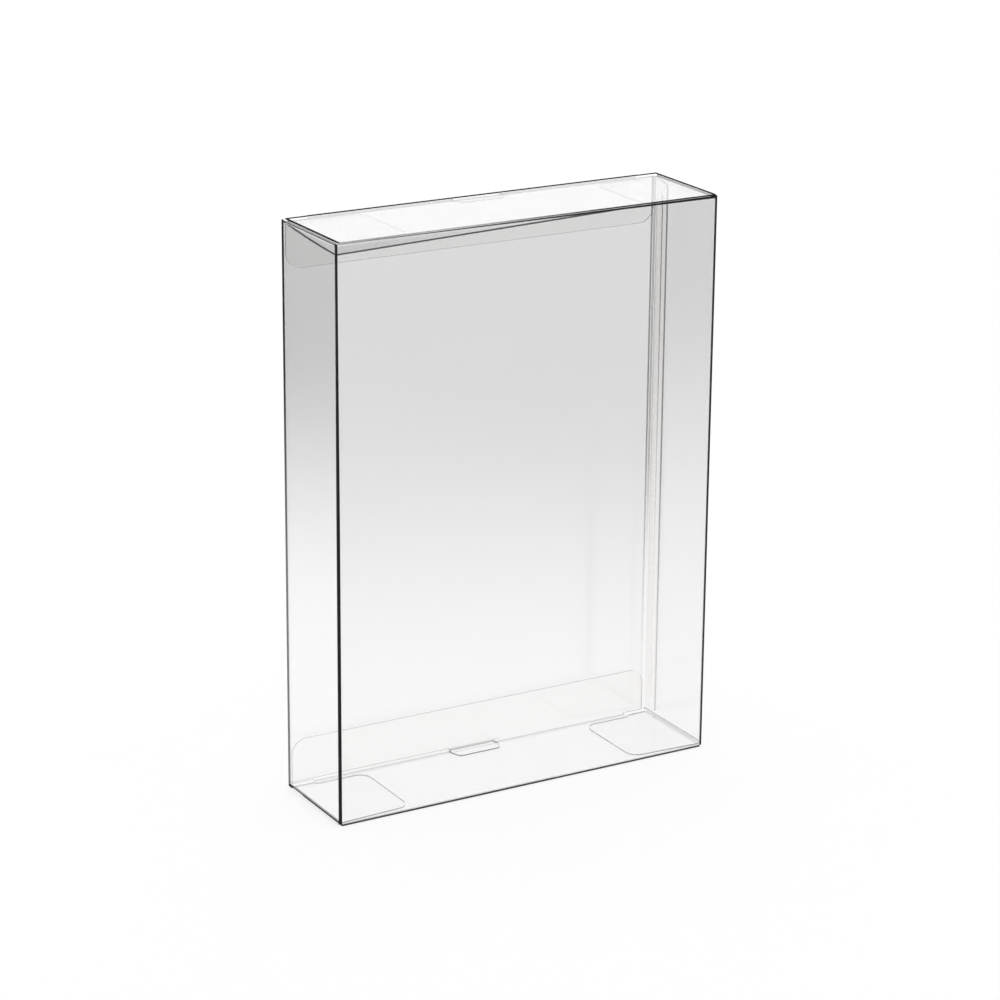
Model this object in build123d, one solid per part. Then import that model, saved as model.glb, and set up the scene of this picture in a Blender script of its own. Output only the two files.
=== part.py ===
from build123d import *
import os

# Clear tuck-end box that protects a boxed game. It is die-cut from one flat clear sheet,
# creased, closed round by one glued seam, and shut at each end by a panel with a tuck flap.
# Millimetres. The origin is at the middle of the underside, the front wall faces -Y, +Z is up.

os.makedirs("parts", exist_ok=True)

# Outside of the closed box
width = 129.8
depth = 34.8
height = 179.8

# The sheet, and how it bends
sheet = 0.4
fold_inside = 0.4        # inside radius of the upright folds and of the dust flaps' folds
crease_share = 0.75      # rounding of the closures' sharper creases, as a share of the sheet

# Glued seam, on the inside of the right wall
glue_flap_width = 8.0
glue_flap_taper = 1.6    # how much shorter the flap's free edge is, at each end
glue_gap = 0.1           # thickness of the dried glue
glue_width = 3.4
glue_inset = 1.6         # from the back wall's face to the glue
glue_rounding = 0.45     # of the glue's ends, as a share of its width
glue_end = 6.0           # bare length at each end of the seam
seam_edge = 1.2          # how far the right wall's cut edge stops short of the back face

# Closures at both ends
closure_side = 0.9       # from the walls' faces to the closure's side edges
closure_play = 0.2       # between the closure's inside face and the folded walls under it
back_edge = 1.3          # how far the back wall's cut edges stop short of the ends
tuck_length = 15.5
tuck_play = 0.5          # between the tuck flap and the back wall
tuck_side_left = 1.0
tuck_side_right = 1.5    # clears the glued seam
tuck_corner = 5.0
slit_length = 7.5        # slit lock cut into each end of the tuck crease
slit_depth = 0.5
slit_corner = 0.4

# Tongue on the back wall's edge, and the slot in the tuck crease that takes it
tongue_neck = 16.0
tongue_shoulder = 17.4
tongue_tip = 14.4
tongue_reach = 6.0       # from the back face to the tongue's free edge
tongue_neck_length = 1.5
tongue_shoulder_length = 0.3
tongue_corner = 1.2
tongue_play = 0.12
slot_play = 0.3

# Dust flaps, folded in from the side walls
dust_length = 25.0
dust_front = 1.0
dust_front_tip = 2.2
dust_back = 2.8          # from the back face, out of the tuck flap's swing
dust_shoulder = 1.1      # step beside the slit lock
dust_shoulder_length = 7.5
dust_corner = 4.0

# Places that follow from the sizes
fold_radius = fold_inside + sheet
left, right = -width / 2, width / 2
front, back = -depth / 2, depth / 2
wall_low = sheet + closure_play
wall_high = height - wall_low
tuck_outside = back - sheet - tuck_play
tuck_inside = tuck_outside - sheet
glue_flap_face = right - sheet - glue_gap
leg_low = wall_high - 3 * fold_radius    # foot of the dust flaps' folded legs
tongue_top = height - sheet - tongue_play
reach = 3 * sheet        # spare length on cutting tools
both_ends = Plane.XY.offset(height / 2)


def strip(corners, radius):
    """A folded strip of sheet, lying to the left of its outside line, which turns left only."""
    points = [Vector(*corner) for corner in corners]
    runs = [(b - a).normalized() for a, b in zip(points, points[1:])]
    steps = [Vector(-run.Y, run.X) * sheet for run in runs]
    inner = [points[0] + steps[0]]
    inner += [p + before + after for p, before, after in zip(points[1:], steps, steps[1:])]
    inner.append(points[-1] + steps[-1])
    outside = FilletPolyline(*points, radius=radius)
    inside = FilletPolyline(*inner, radius=radius - sheet)
    return make_face([outside, Line(outside @ 1, inside @ 1), inside, Line(inside @ 0, outside @ 0)])


def at_bottom(solid):
    """The same piece at the other end of the box."""
    return mirror(solid, about=both_ends)


def walls():
    """Four walls and the glue flap, before their ends are cut."""
    outside = [
        (glue_flap_face, back - glue_flap_width),
        (glue_flap_face, back),
        (left, back),
        (left, front),
        (right, front),
        (right, back - seam_edge),
    ]
    return Pos(Z=wall_low) * extrude(strip(outside, fold_radius), wall_high - wall_low)


def back_end_waste():
    """What the die cuts away above the back wall and the glue flap's tapered end."""
    flat = back - 2 * fold_radius
    slope = glue_flap_taper / (glue_flap_width - 2 * fold_radius)
    far = back - glue_flap_width - reach
    edge = height - back_edge
    outline = Polyline(
        (back + reach, edge),
        (flat, edge),
        (far, edge - slope * (flat - far)),
        (far, height),
        (back + reach, height),
        close=True,
    )
    across = glue_flap_face + glue_gap / 2 - left - fold_radius
    return Pos(X=left + fold_radius) * extrude(Plane.YZ * make_face(outline), across, dir=(1, 0, 0))


def dust_outline():
    """Plan of the left dust flap, from the left wall's face to its free end."""
    tip = left + dust_length
    heel = left + dust_shoulder_length
    back_line = back - dust_back
    outline = Polyline(
        (left - reach, front + dust_front),
        (left + fold_radius, front + dust_front),
        (tip, front + dust_front_tip),
        (tip, back_line - dust_shoulder),
        (heel + dust_shoulder, back_line - dust_shoulder),
        (heel, back_line),
        (left - reach, back_line),
        close=True,
    )
    face = make_face(outline)
    ends = face.vertices().filter_by_position(Axis.X, tip - 0.01, tip + 0.01)
    return fillet(ends, dust_corner)


def dust_flap():
    """Left dust flap of the top, with its fold and a short leg of the wall below it."""
    profile = Plane.XZ * strip(
        [(left + dust_length, wall_high), (left, wall_high), (left, leg_low)], fold_radius
    )
    bent = Pos(Y=front) * extrude(profile, depth, dir=(0, 1, 0))
    plan = Pos(Z=leg_low) * extrude(dust_outline(), wall_high - leg_low)
    return bent & plan


def dust_seat():
    """The piece of left wall that the fold's leg stands in for."""
    hinge = depth - dust_front - dust_back
    seat = Box(2 * sheet, hinge, height - leg_low, align=(Align.CENTER, Align.MIN, Align.MIN))
    return Pos(left, front + dust_front, leg_low) * seat


def sleeve():
    """Walls, glue flap and four dust flaps, folded from one sheet."""
    left_flap, left_seat = dust_flap(), dust_seat()
    right_flap, right_seat = mirror(left_flap, about=Plane.YZ), mirror(left_seat, about=Plane.YZ)
    body = walls()
    for waste in (back_end_waste(), left_seat, right_seat):
        body -= waste
        body -= at_bottom(waste)
    for flap in (left_flap, right_flap):
        body += flap
        body += at_bottom(flap)
    return body


def glue_line():
    """Line of clear glue between the glue flap and the right wall."""
    length = height - 2 * glue_end
    line = extrude(RectangleRounded(glue_width, length, glue_rounding * glue_width), glue_gap)
    middle = (glue_flap_face, back - glue_inset - glue_width / 2, height / 2)
    return Plane(middle, x_dir=(0, 1, 0), z_dir=(1, 0, 0)) * line


def closure():
    """Top closure panel, with its creased edges and the slits at the ends of its tuck crease."""
    long = width - 2 * closure_side
    deep = tuck_outside - front
    panel = Box(long, deep, sheet, align=(Align.CENTER, Align.MIN, Align.MAX))
    panel = Pos(0, front, height) * panel
    creases = panel.edges().filter_by(Axis.X).group_by(Axis.Z)[-1]
    panel = fillet(creases, crease_share * sheet)
    for side in (-1, 1):
        slit = Box(slit_length, 2 * slit_depth, 4 * sheet)
        slit = fillet(slit.edges().filter_by(Axis.Z), slit_corner)
        middle = side * (long / 2 - slit_length / 2 + slit_corner)
        panel -= Pos(middle, tuck_outside, height - sheet) * slit
    return panel


def tuck_outline():
    """Tuck flap seen from behind, with its crease side stepped for the slits and the slot."""
    crease = height - sheet - closure_play
    slit = wall_high - sheet - closure_play
    slot = tongue_top - sheet - tongue_play
    near, far = left + tuck_side_left, right - tuck_side_right
    half_slot = tongue_neck / 2 + slot_play
    outline = Polyline(
        (near, height - tuck_length),
        (far, height - tuck_length),
        (far, slit),
        (right - closure_side - slit_length, slit),
        (right - closure_side - slit_length, crease),
        (half_slot, crease),
        (half_slot, slot),
        (-half_slot, slot),
        (-half_slot, crease),
        (left + closure_side + slit_length, crease),
        (left + closure_side + slit_length, slit),
        (near, slit),
        close=True,
    )
    face = make_face(outline)
    free_corners = face.vertices().group_by(Axis.Y)[0]
    return fillet(free_corners, tuck_corner)


def tuck_flap():
    """Top tuck flap, standing inside the back wall."""
    return Pos(Y=tuck_inside) * extrude(Plane.XZ * tuck_outline(), sheet, dir=(0, 1, 0))


def tongue():
    """Locking tongue: rises from the back wall's edge, turns in and lies under the closure."""
    root = height - back_edge
    bend = tongue_top - root
    tip = back - tongue_reach
    profile = strip([(back, root - sheet), (back, tongue_top), (tip, tongue_top)], bend)
    bent = Pos(X=left) * extrude(Plane.YZ * profile, width, dir=(1, 0, 0))
    neck_line = back - tongue_neck_length
    shoulder_line = neck_line - tongue_shoulder_length
    right_half = [
        (tongue_neck / 2, back + reach),
        (tongue_neck / 2, neck_line),
        (tongue_shoulder / 2, shoulder_line),
        (tongue_tip / 2, tip),
    ]
    left_half = [(-x, y) for x, y in reversed(right_half)]
    face = make_face(Polyline(*right_half, *left_half, close=True))
    face = fillet(face.vertices().group_by(Axis.Y)[0], tongue_corner)
    return bent & (Pos(Z=root) * extrude(face, height - root))


top_lid = closure()
top_tuck_flap = tuck_flap()
top_tongue = tongue()

pieces = {
    "sleeve": sleeve(),
    "glue_line": glue_line(),
    "top_lid": top_lid,
    "top_tuck_flap": top_tuck_flap,
    "top_tongue": top_tongue,
    "bottom_lid": at_bottom(top_lid),
    "bottom_tuck_flap": at_bottom(top_tuck_flap),
    "bottom_tongue": at_bottom(top_tongue),
}

for node, shape in pieces.items():
    export_step(shape, f"parts/{node}.step")
    print(node, round(shape.volume, 2), shape.bounding_box().min, shape.bounding_box().max)
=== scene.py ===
import bpy
import bmesh
import math
from mathutils import Matrix, Vector


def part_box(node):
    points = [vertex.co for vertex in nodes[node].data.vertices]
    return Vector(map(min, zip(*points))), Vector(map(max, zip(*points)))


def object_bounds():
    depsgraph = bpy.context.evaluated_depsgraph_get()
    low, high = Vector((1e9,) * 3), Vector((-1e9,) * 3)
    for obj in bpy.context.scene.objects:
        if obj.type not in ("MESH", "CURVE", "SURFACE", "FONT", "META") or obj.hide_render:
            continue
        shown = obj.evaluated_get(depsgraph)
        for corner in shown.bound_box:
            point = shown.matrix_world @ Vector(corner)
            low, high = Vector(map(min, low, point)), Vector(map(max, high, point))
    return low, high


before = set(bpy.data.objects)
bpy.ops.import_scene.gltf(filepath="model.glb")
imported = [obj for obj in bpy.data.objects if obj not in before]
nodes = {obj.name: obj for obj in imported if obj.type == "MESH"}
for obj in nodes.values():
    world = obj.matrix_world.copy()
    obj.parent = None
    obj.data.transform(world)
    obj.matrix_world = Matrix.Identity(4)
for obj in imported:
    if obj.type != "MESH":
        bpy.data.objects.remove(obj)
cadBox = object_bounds()
high = cadBox[1]    # the box stands with its middle over the origin
middle = high.z / 2
print("frame loaded:", len(nodes), "nodes")

# Camera, from the corners of the box in the photograph: turned to the left of the front
camera = {
    "place": (-0.4834, -0.8282, 0.4063),
    "azimuth": -30.26,
    "elevation": 18.37,
    "roll": 0.50,
    "lens": 119.3,
    "sensor": 36,
    "clip": (0.01, 50),
}


def aimCamera(settings):
    a, e, r = (math.radians(settings[k]) for k in ("azimuth", "elevation", "roll"))
    back = Vector((math.sin(a) * math.cos(e), -math.cos(a) * math.cos(e), math.sin(e)))
    level = Vector((math.cos(a), math.sin(a), 0))
    upright = back.cross(level)
    right = math.cos(r) * level + math.sin(r) * upright
    up = back.cross(right)
    data = bpy.data.cameras.new("camera")
    data.lens = settings["lens"]
    data.sensor_width = settings["sensor"]
    data.clip_start, data.clip_end = settings["clip"]
    obj = bpy.data.objects.new("camera", data)
    turn = Matrix((right, up, back)).transposed().to_4x4()
    obj.matrix_world = Matrix.Translation(settings["place"]) @ turn
    bpy.context.scene.collection.objects.link(obj)
    bpy.context.scene.camera = obj


aimCamera(camera)
bpy.context.scene.view_settings.view_transform = "Standard"
print("camera set")


softEdge = 0.0001    # metres over which a line in a material fades in
sharpEdge = 0.00005
halfSoft = 0.001    # and over which one half of the box gives way to the other


# A shader socket that Python can do maths with
class Signal:
    def __init__(self, shader, socket):
        self.shader = shader
        self.socket = socket

    def join(self, operation, *others):
        values = [o.socket if isinstance(o, Signal) else o for o in others]
        return self.shader.add("ShaderNodeMath", {"operation": operation}, [self.socket, *values])

    def __add__(self, other):
        return self.join("ADD", other)

    __radd__ = __add__

    def __mul__(self, other):
        return self.join("MULTIPLY", other)

    __rmul__ = __mul__

    def __sub__(self, other):
        return self.join("SUBTRACT", other)

    def __rsub__(self, other):
        return self * -1 + other

    def __truediv__(self, other):
        return self.join("DIVIDE", other)

    def __abs__(self):
        return self.join("ABSOLUTE")

    def over(self, other):    # the larger of the two
        return self.join("MAXIMUM", other)

    def under(self, other):    # the smaller of the two
        return self.join("MINIMUM", other)

    def ramp(self, start, end):    # 0 at start, 1 at end, smooth between
        settings = {"interpolation_type": "SMOOTHSTEP"}
        return self.shader.add("ShaderNodeMapRange", settings, [self.socket, start, end])

    def past(self, limit, soft=softEdge):    # 1 above the limit
        return (self - limit).ramp(0, soft)

    def short(self, limit, soft=softEdge):    # 1 below the limit
        return (limit - self).ramp(0, soft)

    def near(self, value, half, soft=softEdge):    # 1 within half of the value
        return 1 - abs(self - value).ramp(half, half + soft)


# One material's node tree
class Shader:
    def __init__(self, tree):
        self.tree = tree
        tree.nodes.clear()

    def add(self, kind, settings=None, values=(), output=0):
        node = self.tree.nodes.new(kind)
        for name, value in (settings or {}).items():
            setattr(node, name, value)
        pairs = values.items() if isinstance(values, dict) else enumerate(values)
        for key, value in pairs:
            socket = node.inputs[key]
            value = value.socket if isinstance(value, Signal) else value
            if isinstance(value, bpy.types.NodeSocket):
                self.tree.links.new(value, socket)
            elif value is not None:
                socket.default_value = value
        return Signal(self, node.outputs[output])

    def place(self):
        coordinates = self.add("ShaderNodeTexCoord", output="Object")
        split = self.add("ShaderNodeSeparateXYZ", values=[coordinates]).socket.node
        return [coordinates] + [Signal(self, s) for s in split.outputs]

    def facing(self):    # the surface's own direction
        normal = self.add("ShaderNodeTexCoord", output="Normal")
        split = self.add("ShaderNodeSeparateXYZ", values=[normal]).socket.node
        return [Signal(self, s) for s in split.outputs]

    def blend(self, mask, one, other):    # colours, by a mask
        inputs = {0: mask, 6: one, 7: other}
        return self.add("ShaderNodeMix", {"data_type": "RGBA"}, inputs, output=2)

    def finish(self, kind, surface):
        out = self.tree.nodes.new(kind)
        self.tree.links.new(surface.socket, out.inputs["Surface"])


def newMaterial(name):
    material = bpy.data.materials.new(name)
    material.use_nodes = True
    return material, Shader(material.node_tree)


# Clear sheet: what is behind shows through it, and it mirrors more where it is seen along its
# surface. Folds and cut edges, which gather little light, are painted as dark, nearly opaque
# lines: painted shade in place of the light that the sheet bends away there
clearSheet = {
    "through": (0.992, 0.990, 0.990, 1),    # passed by each face
    "mirror": (1.0, 1.0, 1.0, 1),
    "faceOn": 0.080,    # share mirrored by each face, seen square on
    "rise": 3.9,    # how late that share grows as the face turns away
    "most": 0.35,    # and where it stops growing
    "gloss": 0.14,
    "haze": 0.06,    # handling marks
    "hazeScale": 26,
    "hazeDetail": 4,
    "hazeRange": (0.45, 0.75),
    "ior": 1.57,
    # colour of the painted shade at folds and cut edges, and how strongly each is painted
    "line": (0.004, 0.004, 0.005, 1),
    "foldLine": 0.985,
    "cutLine": 0.75,
}


def clearMaterial(name, settings, lines, calm):
    material, s = newMaterial(name)
    where, x, y, z = s.place()
    nx, ny, nz = s.facing()
    mask = lines(x, y, z, nx, ny, nz)
    turned = s.add("ShaderNodeLayerWeight", values=[0.5], output="Facing")
    shine = settings["faceOn"] + (1 - settings["faceOn"]) * turned.join("POWER", settings["rise"])
    shine = shine.under(settings["most"])
    shine = shine * (calm(x, y, z) if callable(calm) else calm)    # less where pieces touch
    marks = s.add("ShaderNodeTexNoise", values={
        "Vector": where,
        "Scale": settings["hazeScale"],
        "Detail": settings["hazeDetail"],
    })
    # where the lines' mask is set: painted shade, a dark base colour that hides what is behind
    base = s.blend(mask, settings["mirror"], settings["line"])
    coated = s.add("ShaderNodeBsdfPrincipled", values={
        "Base Color": base,
        "Roughness": settings["gloss"] + marks.ramp(*settings["hazeRange"]) * settings["haze"],
        "Metallic": 1 - mask,
        "IOR": settings["ior"],
        "Specular IOR Level": 0.0,
    })
    clear = s.add("ShaderNodeBsdfTransparent", values=[settings["through"]])
    surface = s.add("ShaderNodeMixShader", values=[shine.over(mask), clear, coated])
    s.finish("ShaderNodeOutputMaterial", surface)
    return material


# Parts of a surface's own direction at which it counts as turned
turns = {"square": (0.90, 0.95), "mostly": (0.45, 0.55), "flat": (0.90, 0.985)}


def squareTo(direction):    # the surface faces along this axis
    return abs(direction).ramp(*turns["square"])


def mostlyTo(direction):    # it faces more along this axis than across it
    return abs(direction).ramp(*turns["mostly"])


def bends(nx, ny, nz):    # it turns from one side of the box to another
    return 1 - abs(nx).over(abs(ny)).over(abs(nz)).ramp(*turns["flat"])


# Widths and strengths of the sleeve's dark lines at folds, creased ends, cut edges and score lines:
# painted shade
sleeveMarks = {
    "wall": 0.0005,    # depth that takes in a wall's two faces
    "foldRadius": 0.0008,
    "wallEnd": 0.0006,    # how far the walls stop short of the closures' outsides
    "frontLeft": 0.00085,    # how far the dark line of each upright fold reaches from the corner
    "frontRight": 0.00095,
    "backLeft": 0.00085,
    "slimTop": 0.2,    # how much slimmer the front left line is above
    "slimming": (0.08, 0.17),    # the heights between which it narrows
    "rimTop": 0.0007,    # dark bands along the front wall's creased ends
    "rimStart": 0.1,    # share of the upper one's width at its left end
    "rimBottom": 0.0004,
    "paleRim": 0.35,    # the lower one is paler than the upper one
    "dustFold": 0.0009,    # reach of the dark line where each dust flap folds in
    "dustFoldTopLeft": 0.00035,
    "dustTop": 0.35,    # the top dust flaps' outlines are paler
    "dustZone": 0.0883,    # height above and below the middle where the dust flaps lie
    "insideX": 0.0639,
    "insideY": 0.0166,
    "dustCalm": 0.8,    # share of the mirroring that the dust flaps lose
    "paleFrom": 0.01,    # the bottom is pale to the right of this
    "paleFold": 0.8,    # its fold shows only the inner side, as a thin line
    "paleWidth": 0.00022,
    "paleCut": 0.85,    # share that its cut edges lose
    "score": 0.0016,    # faint rule mark beside each upright fold
    "scoreWidth": 0.0001,
    "scoreSoft": 0.0002,
    "scoreLine": 0.10,
}

# Glued seam: the back wall turns into the glue flap, which lies inside the right wall. Its folds
# and cut edges are drawn as dark lines of painted shade
seamMarks = {
    "flapFrom": 0.0634,
    "flapFace": high.x - 0.00045,    # between the glue flap and the right wall
    "flapEdge": high.y - 0.0080,    # the glue flap's free edge
    "flapEdgeWidth": 0.00035,
    "flapEdgeLow": 0.7,    # share of its line that is left at the bottom
    "wallEdge": high.y - 0.0012,    # the right wall's cut edge
    "wallEdgeWidth": 0.0004,
    "wallEdgeLine": 0.25,
    "turnLine": 0.7,    # two thin lines, where the fold starts and where it ends
    "startX": 0.0636,
    "startBeyondY": 0.0168,
    "startWidth": 0.00015,
    "startLow": 0.3,
    "endY": 0.0166,
    "endMiddleX": 0.0642,
    "endReach": 0.00035,
    "endWidth": 0.00018,
    "fadeFrom": 0.11,    # height below which the lines get paler
    "endFade": (0.035, 0.095),    # heights between which the fold's end fades in
    "calm": 0.95,    # share of the mirroring that the glue flap loses
    "calmMargin": 0.0002,
}

# The top left corner was pressed in when the closure was shut: a crease runs from it along the
# front wall and dies out, and another bows along the left wall. Both creases are drawn as dark
# lines of painted shade, and the strip above the front crease is darkened as painted shade
pressedCorner = {
    "drop": 0.0030,    # how far below the wall's end the creases meet
    "along": 0.105,    # length along the front wall
    "dieOut": 0.02,    # share of that length over which it ends
    "bow": 0.0004,    # sag of the left wall's crease
    "width": 0.00015,
    "soft": 0.00012,
    "line": 0.92,
    "shade": 0.22,    # of the strip above the front crease
    "shadeFrom": 0.0006,
    "shadeSoft": 0.0002,
}


def onFrontWall(y):
    return y.short(sleeveMarks["wall"] - high.y, sharpEdge)


def onGlueFlap(x):
    return x.past(seamMarks["flapFrom"]) * x.short(seamMarks["flapFace"], sharpEdge)


def onDustFlap(x, y, z):
    m = sleeveMarks
    inside = abs(x).short(m["insideX"]) * abs(y).short(m["insideY"])
    return abs(z - middle).past(m["dustZone"]) * inside


def cornerCreaseShade(x, y, z, nx, ny):
    c = pressedCorner
    below = high.z - sleeveMarks["wallEnd"] - z
    along = ((x + high.x) / c["along"]).under(1)
    fall = (1 - along) * c["drop"]
    line = below.near(fall, c["width"], c["soft"])
    # the strip above the front crease: painted shade, where the sheet there leans inward
    shade = below.short(fall, c["soft"]) * below.past(c["shadeFrom"], c["shadeSoft"]) * (1 - along)
    onFront = onFrontWall(y) * squareTo(ny) * (1 - along).ramp(0, c["dieOut"])
    front = (line * c["line"]).over(shade * c["shade"]) * onFront
    back = ((y + high.y) / (2 * high.y)).under(1).over(0)
    fall = (1 - back) * c["drop"] + back * (1 - back) * 4 * c["bow"]
    line = below.near(fall, c["width"], c["soft"])
    onLeft = x.short(sleeveMarks["wall"] - high.x, sharpEdge) * squareTo(nx)
    return front.over(line * c["line"] * onLeft)


def cutEdges(dust, level, upper, pale):    # of the dust flaps, and of the walls' ends
    m = sleeveMarks
    onDust = dust * (1 - level) * (1 - upper * (1 - m["dustTop"]))
    return onDust + (1 - dust) * level * (1 - pale * m["paleCut"])


def uprightFolds(z, nearCorner, atRight, atBack):    # all but the one at the seam
    m = sleeveMarks
    atFront = m["frontLeft"] * (1 - m["slimTop"] * z.ramp(*m["slimming"]))
    atFront = atFront * (1 - atRight) + m["frontRight"] * atRight
    width = atFront * (1 - atBack) + m["backLeft"] * atBack
    return nearCorner.short(width) * (1 - atRight * atBack)


def frontRims(x, y, nearX, nearEnd, upper):
    m = sleeveMarks
    along = (x + high.x) / (2 * high.x)
    top = m["rimTop"] * (m["rimStart"] + along * (1 - m["rimStart"]))
    width = upper * (top - m["rimBottom"]) + m["rimBottom"]
    rim = nearEnd.short(width) * onFrontWall(y) * nearX.past(m["foldRadius"])
    return rim * (m["paleRim"] + upper * (1 - m["paleRim"]))


def dustFolds(nearX, nearY, nearEnd, upper, atRight, pale):
    m = sleeveMarks
    nearFold = nearX.over(nearEnd)
    reach = m["dustFold"] - upper * (1 - atRight) * (m["dustFold"] - m["dustFoldTopLeft"])
    inner = nearFold.short(reach - m["paleWidth"])
    fold = nearFold.short(reach) * nearY.past(m["foldRadius"])
    return fold * (1 - pale * (1 - (1 - inner) * m["paleFold"]))


# score lines drawn as faint lines of painted shade
def scoreMarks(x, y, nx, ny):
    m = sleeveMarks
    besideX = abs(x).near(high.x - m["score"], m["scoreWidth"], m["scoreSoft"])
    besideY = abs(y).near(high.y - m["score"], m["scoreWidth"], m["scoreSoft"])
    return (besideX * squareTo(ny)).over(besideY * squareTo(nx)) * m["scoreLine"]


def seamEdges(x, y, downward, endFade):    # cut edges of the glue flap and of the right wall
    m = seamMarks
    flap = onGlueFlap(x) * abs(y - m["flapEdge"]).short(m["flapEdgeWidth"])
    flap = flap * (m["flapEdgeLow"] + (1 - m["flapEdgeLow"]) * downward)
    wall = x.past(high.x - sleeveMarks["wall"], sharpEdge)
    wall = wall * y.past(m["wallEdge"] - m["wallEdgeWidth"])
    return flap.over(wall * m["wallEdgeLine"] * endFade)


def seamFold(x, y, downward, endFade):    # where the back wall turns into the glue flap
    m = seamMarks
    start = x.near(m["startX"], m["startWidth"]) * y.past(m["startBeyondY"])
    start = start * (m["startLow"] + (1 - m["startLow"]) * downward)
    end = y.near(m["endY"], m["endWidth"]) * abs(x - m["endMiddleX"]).short(m["endReach"])
    return start.over(end * endFade) * m["turnLine"]


# mask of painted shade on the sleeve: dark lines at its folds, creases, cut edges and scores
def sleeveLines(x, y, z, nx, ny, nz):
    m = sleeveMarks
    upper = z.past(middle, halfSoft)
    atRight, atBack = x.ramp(0, halfSoft), y.ramp(0, halfSoft)
    pale = x.past(m["paleFrom"], halfSoft) * (1 - upper)
    nearX, nearY = high.x - abs(x), high.y - abs(y)
    nearEnd = middle - m["wallEnd"] - abs(z - middle)
    folds = uprightFolds(z, nearX.over(nearY), atRight, atBack)
    folds = folds.over(frontRims(x, y, nearX, nearEnd, upper))
    folds = folds.over(dustFolds(nearX, nearY, nearEnd, upper, atRight, pale))
    downward, endFade = z.ramp(0, seamMarks["fadeFrom"]), z.ramp(*seamMarks["endFade"])
    cuts = cutEdges(onDustFlap(x, y, z), mostlyTo(nz), upper, pale)
    cuts = cuts.over(seamEdges(x, y, downward, endFade))
    lines = (folds * clearSheet["foldLine"]).over(seamFold(x, y, downward, endFade))
    lines = lines.over(cornerCreaseShade(x, y, z, nx, ny)).over(cuts * clearSheet["cutLine"])
    return lines.over(scoreMarks(x, y, nx, ny))


def sleeveCalm(x, y, z):
    seam = onGlueFlap(x) * y.past(seamMarks["flapEdge"] - seamMarks["calmMargin"])
    dust = onDustFlap(x, y, z)
    return (1 - dust * sleeveMarks["dustCalm"]) * (1 - seam * seamMarks["calm"])


# Dark lines round the lid's edges and along its creases: painted shade
lidMarks = {
    "back": 0.0019,    # widths of the dark lines round the top
    "right": 0.0012,
    "left": 0.0005,
    "front": 0.0007,    # along the bottom's crease
    "creaseLeft": 0.7,    # the top's crease is paler at its left end
    "creaseBand": 0.001,
    "creaseFrom": 0.03,    # it starts to get paler here
    "creaseFade": 0.06,    # over this length
    "pale": 0.3,    # the bottom's back and right edges
    "paleSide": 0.002,
    "paleSoft": 0.0005,
    "skin": 0.0003,    # depth that takes in the outer face
    "inside": 0.1,    # share of the mirroring that the inner face keeps
}


def lidLines(x, y, z, nx, ny, nz):
    m = lidMarks
    lidLow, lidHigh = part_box("top_lid")
    atBottom = z.short(middle, halfSoft)
    back = y.past(lidHigh.y - m["back"])
    right = x.past(lidHigh.x - m["right"])
    left = x.short(lidLow.x + m["left"])
    onTop = back.over(right).over(left) * z.past(high.z - m["skin"])
    front = y.short(lidLow.y + m["front"]) * atBottom
    away = (y - high.y / 2).over(x - high.x + m["paleSide"]).ramp(0, m["paleSoft"])
    edges = bends(nx, ny, nz).over(1 - mostlyTo(nz))
    edges = edges * (1 - away * atBottom * (1 - m["pale"]))
    crease = y.short(m["creaseBand"] - high.y) * (1 - atBottom)
    crease = crease * x.short(m["creaseFrom"], m["creaseFade"])
    edges = edges * (1 - crease * (1 - m["creaseLeft"]))
    return edges.over(onTop).over(front) * clearSheet["foldLine"]


def lidCalm(x, y, z):
    outside = abs(z - middle).ramp(middle - lidMarks["skin"], middle - softEdge)
    return lidMarks["inside"] + outside * (1 - lidMarks["inside"])


# Dark lines at the tuck flap's creases and cut edges: painted shade
tuckFlap = {
    "through": (0.990, 0.990, 0.987, 1),
    "crease": 0.0887,    # height above and below the middle
    "creaseSoft": 0.0003,
    "top": 0.3,    # how dark the top's and the bottom's creases are
    "bottom": 0.15,
    "calm": 0.25,
}


def tuckLines(x, y, z, nx, ny, nz):
    m = tuckFlap
    cuts = 1 - mostlyTo(ny)
    crease = abs(z - middle).ramp(m["crease"] - m["creaseSoft"], m["crease"])
    dark = z.past(middle, halfSoft) * (m["top"] - m["bottom"]) + m["bottom"]
    return (cuts * clearSheet["cutLine"]).over(crease * dark)


# Dark outline and bend line of the tongues: painted shade
tongueMarks = {
    "edge": 0.9,    # how dark the outline is
    "bend": 0.6,    # share of that at the bend
    "top": 0.4,    # share of it on the top tongue
    "tip": 0.0120,    # the free edge lies in front of this
    "tipSoft": 0.0002,
    "tipTurn": (0.8, 0.9),
    "sideTurn": (0.3, 0.4),
    "calm": 0.25,
}


def tongueLines(x, y, z, nx, ny, nz):
    m = tongueMarks
    sides = abs(nx).ramp(*m["sideTurn"])
    tip = (ny * -1).ramp(*m["tipTurn"]) * y.short(m["tip"], m["tipSoft"])
    share = m["edge"] * (1 - z.past(middle, halfSoft) * (1 - m["top"]))
    return sides.over(tip).over(bends(nx, ny, nz) * m["bend"]) * share


# Glue band: its tint is its own colour. Its dark front edge and cut edges are painted shade
glueBand = {
    "through": (0.985, 0.980, 0.969, 1),
    "bead": 0.00045,    # width of its dark front edge
    "edge": 0.75,
    "low": 0.2,    # share of that left at the bottom
    "fade": (0.04, 0.15),
    "calm": 0.02,
}


def glueLines(x, y, z, nx, ny, nz):
    m = glueBand
    bead = y.short(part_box("glue_line")[0].y + m["bead"])
    fade = m["low"] + (1 - m["low"]) * z.ramp(*m["fade"])
    return bead.over(1 - mostlyTo(nx)) * m["edge"] * fade


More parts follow.
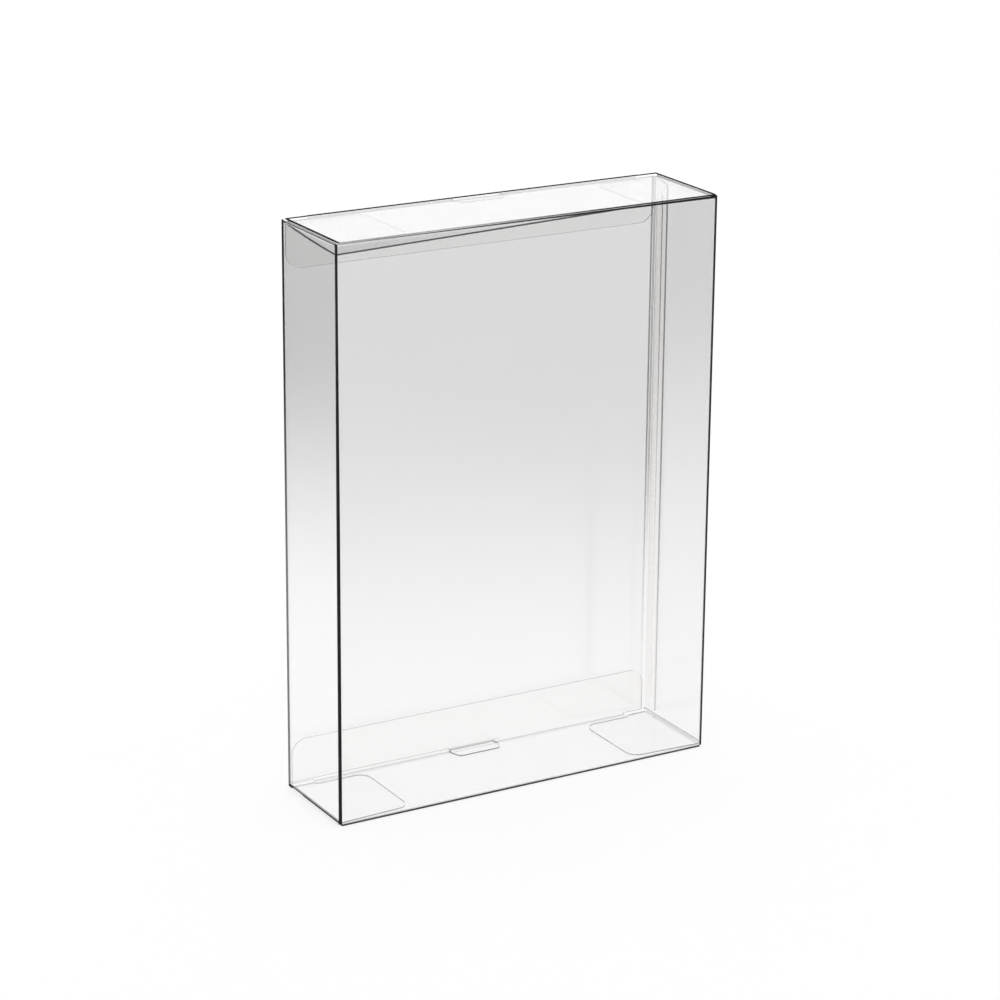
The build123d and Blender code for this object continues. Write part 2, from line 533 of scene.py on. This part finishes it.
print("materials")
clearGlue = clearSheet | {"through": glueBand["through"]}
clearTuck = clearSheet | {"through": tuckFlap["through"]}
finishes = {
    "sleeve": clearMaterial("clearSleeve", clearSheet, sleeveLines, sleeveCalm),
    "glue_line": clearMaterial("clearGlue", clearGlue, glueLines, glueBand["calm"]),
    "lid": clearMaterial("clearLid", clearSheet, lidLines, lidCalm),
    "tuck_flap": clearMaterial("clearTuck", clearTuck, tuckLines, tuckFlap["calm"]),
    "tongue": clearMaterial("clearTongue", clearSheet, tongueLines, tongueMarks["calm"]),
}
for name, node in nodes.items():
    kind = name if name in finishes else name.split("_", 1)[1]    # without top or bottom
    node.data.materials.clear()
    node.data.materials.append(finishes[kind])

# Floor: white round the box. What the walls mirror gets darker further out, as in a studio
floor = {
    "radius": 6,
    "segments": 96,
    "white": (1, 1, 1, 1),
    "dark": (0, 0, 0, 1),
    "middle": (-0.037, 0.065),    # of the white pool
    "near": 0.105,    # where it starts to darken, and where it is dark
    "far": 0.50,
    "shadow": 0.3,    # how much of the object's shadow shows
}


def makeFloor(settings):
    bm = bmesh.new()
    bmesh.ops.create_circle(
        bm, cap_ends=True, segments=settings["segments"], radius=settings["radius"]
    )
    mesh = bpy.data.meshes.new("floor")
    bm.to_mesh(mesh)
    bm.free()
    obj = bpy.data.objects.new("floor", mesh)
    bpy.context.scene.collection.objects.link(obj)
    material, s = newMaterial("floorWhite")
    x, y = s.place()[1:3]
    dx, dy = x - settings["middle"][0], y - settings["middle"][1]
    out = (dx * dx + dy * dy).join("SQRT")
    studio = s.blend(out.ramp(settings["near"], settings["far"]), settings["white"], settings["dark"])
    path = s.add("ShaderNodeLightPath").socket.node
    seen = Signal(s, path.outputs["Is Camera Ray"])
    seen = seen.over(Signal(s, path.outputs["Is Transmission Ray"]))
    mirrored = Signal(s, path.outputs["Is Glossy Ray"])
    matt = s.add("ShaderNodeBsdfDiffuse", values=[settings["white"]])
    glow = s.add("ShaderNodeEmission", values=[settings["white"]])
    reflected = s.add("ShaderNodeEmission", values=[studio])
    shown = s.add("ShaderNodeMixShader", values=[seen * (1 - settings["shadow"]), matt, glow])
    both = s.add("ShaderNodeMixShader", values=[mirrored, shown, reflected])
    s.finish("ShaderNodeOutputMaterial", both)
    mesh.materials.append(material)


makeFloor(floor)

# Even white surround, and one broad soft lamp behind the box, which the lid mirrors
light = {
    "surround": 0.98,    # the light that it sheds
    "seen": 1.0,    # and how bright it looks, seen or mirrored
    "lampSize": (3.4, 2.4),
    "lampAway": 2.3,
    "lampAzimuth": 150,
    "lampElevation": 26,
    "lampPower": 7,
}


def makeLight(settings):
    world = bpy.data.worlds.new("surround")
    world.use_nodes = True
    s = Shader(world.node_tree)
    path = s.add("ShaderNodeLightPath").socket.node
    seen = Signal(s, path.outputs["Is Camera Ray"]).over(Signal(s, path.outputs["Is Glossy Ray"]))
    seen = seen.over(Signal(s, path.outputs["Is Transmission Ray"]))
    grey = [(settings[k],) * 3 + (1,) for k in ("surround", "seen")]
    s.finish("ShaderNodeOutputWorld", s.add("ShaderNodeBackground", values=[s.blend(seen, *grey)]))
    bpy.context.scene.world = world
    data = bpy.data.lights.new("softLamp", "AREA")
    data.shape = "RECTANGLE"
    data.size, data.size_y = settings["lampSize"]
    data.energy = settings["lampPower"]
    obj = bpy.data.objects.new("softLamp", data)
    a, e = math.radians(settings["lampAzimuth"]), math.radians(settings["lampElevation"])
    out = Vector((math.sin(a) * math.cos(e), -math.cos(a) * math.cos(e), math.sin(e)))
    obj.location = Vector((0, 0, high.z)) + out * settings["lampAway"]
    obj.rotation_euler = out.to_track_quat("Z", "Y").to_euler()
    bpy.context.scene.collection.objects.link(obj)


makeLight(light)
scene = bpy.context.scene
scene.cycles.transparent_max_bounces = 48
scene.cycles.max_bounces = 12
scene.cycles.glossy_bounces = 3
print("floor and light")
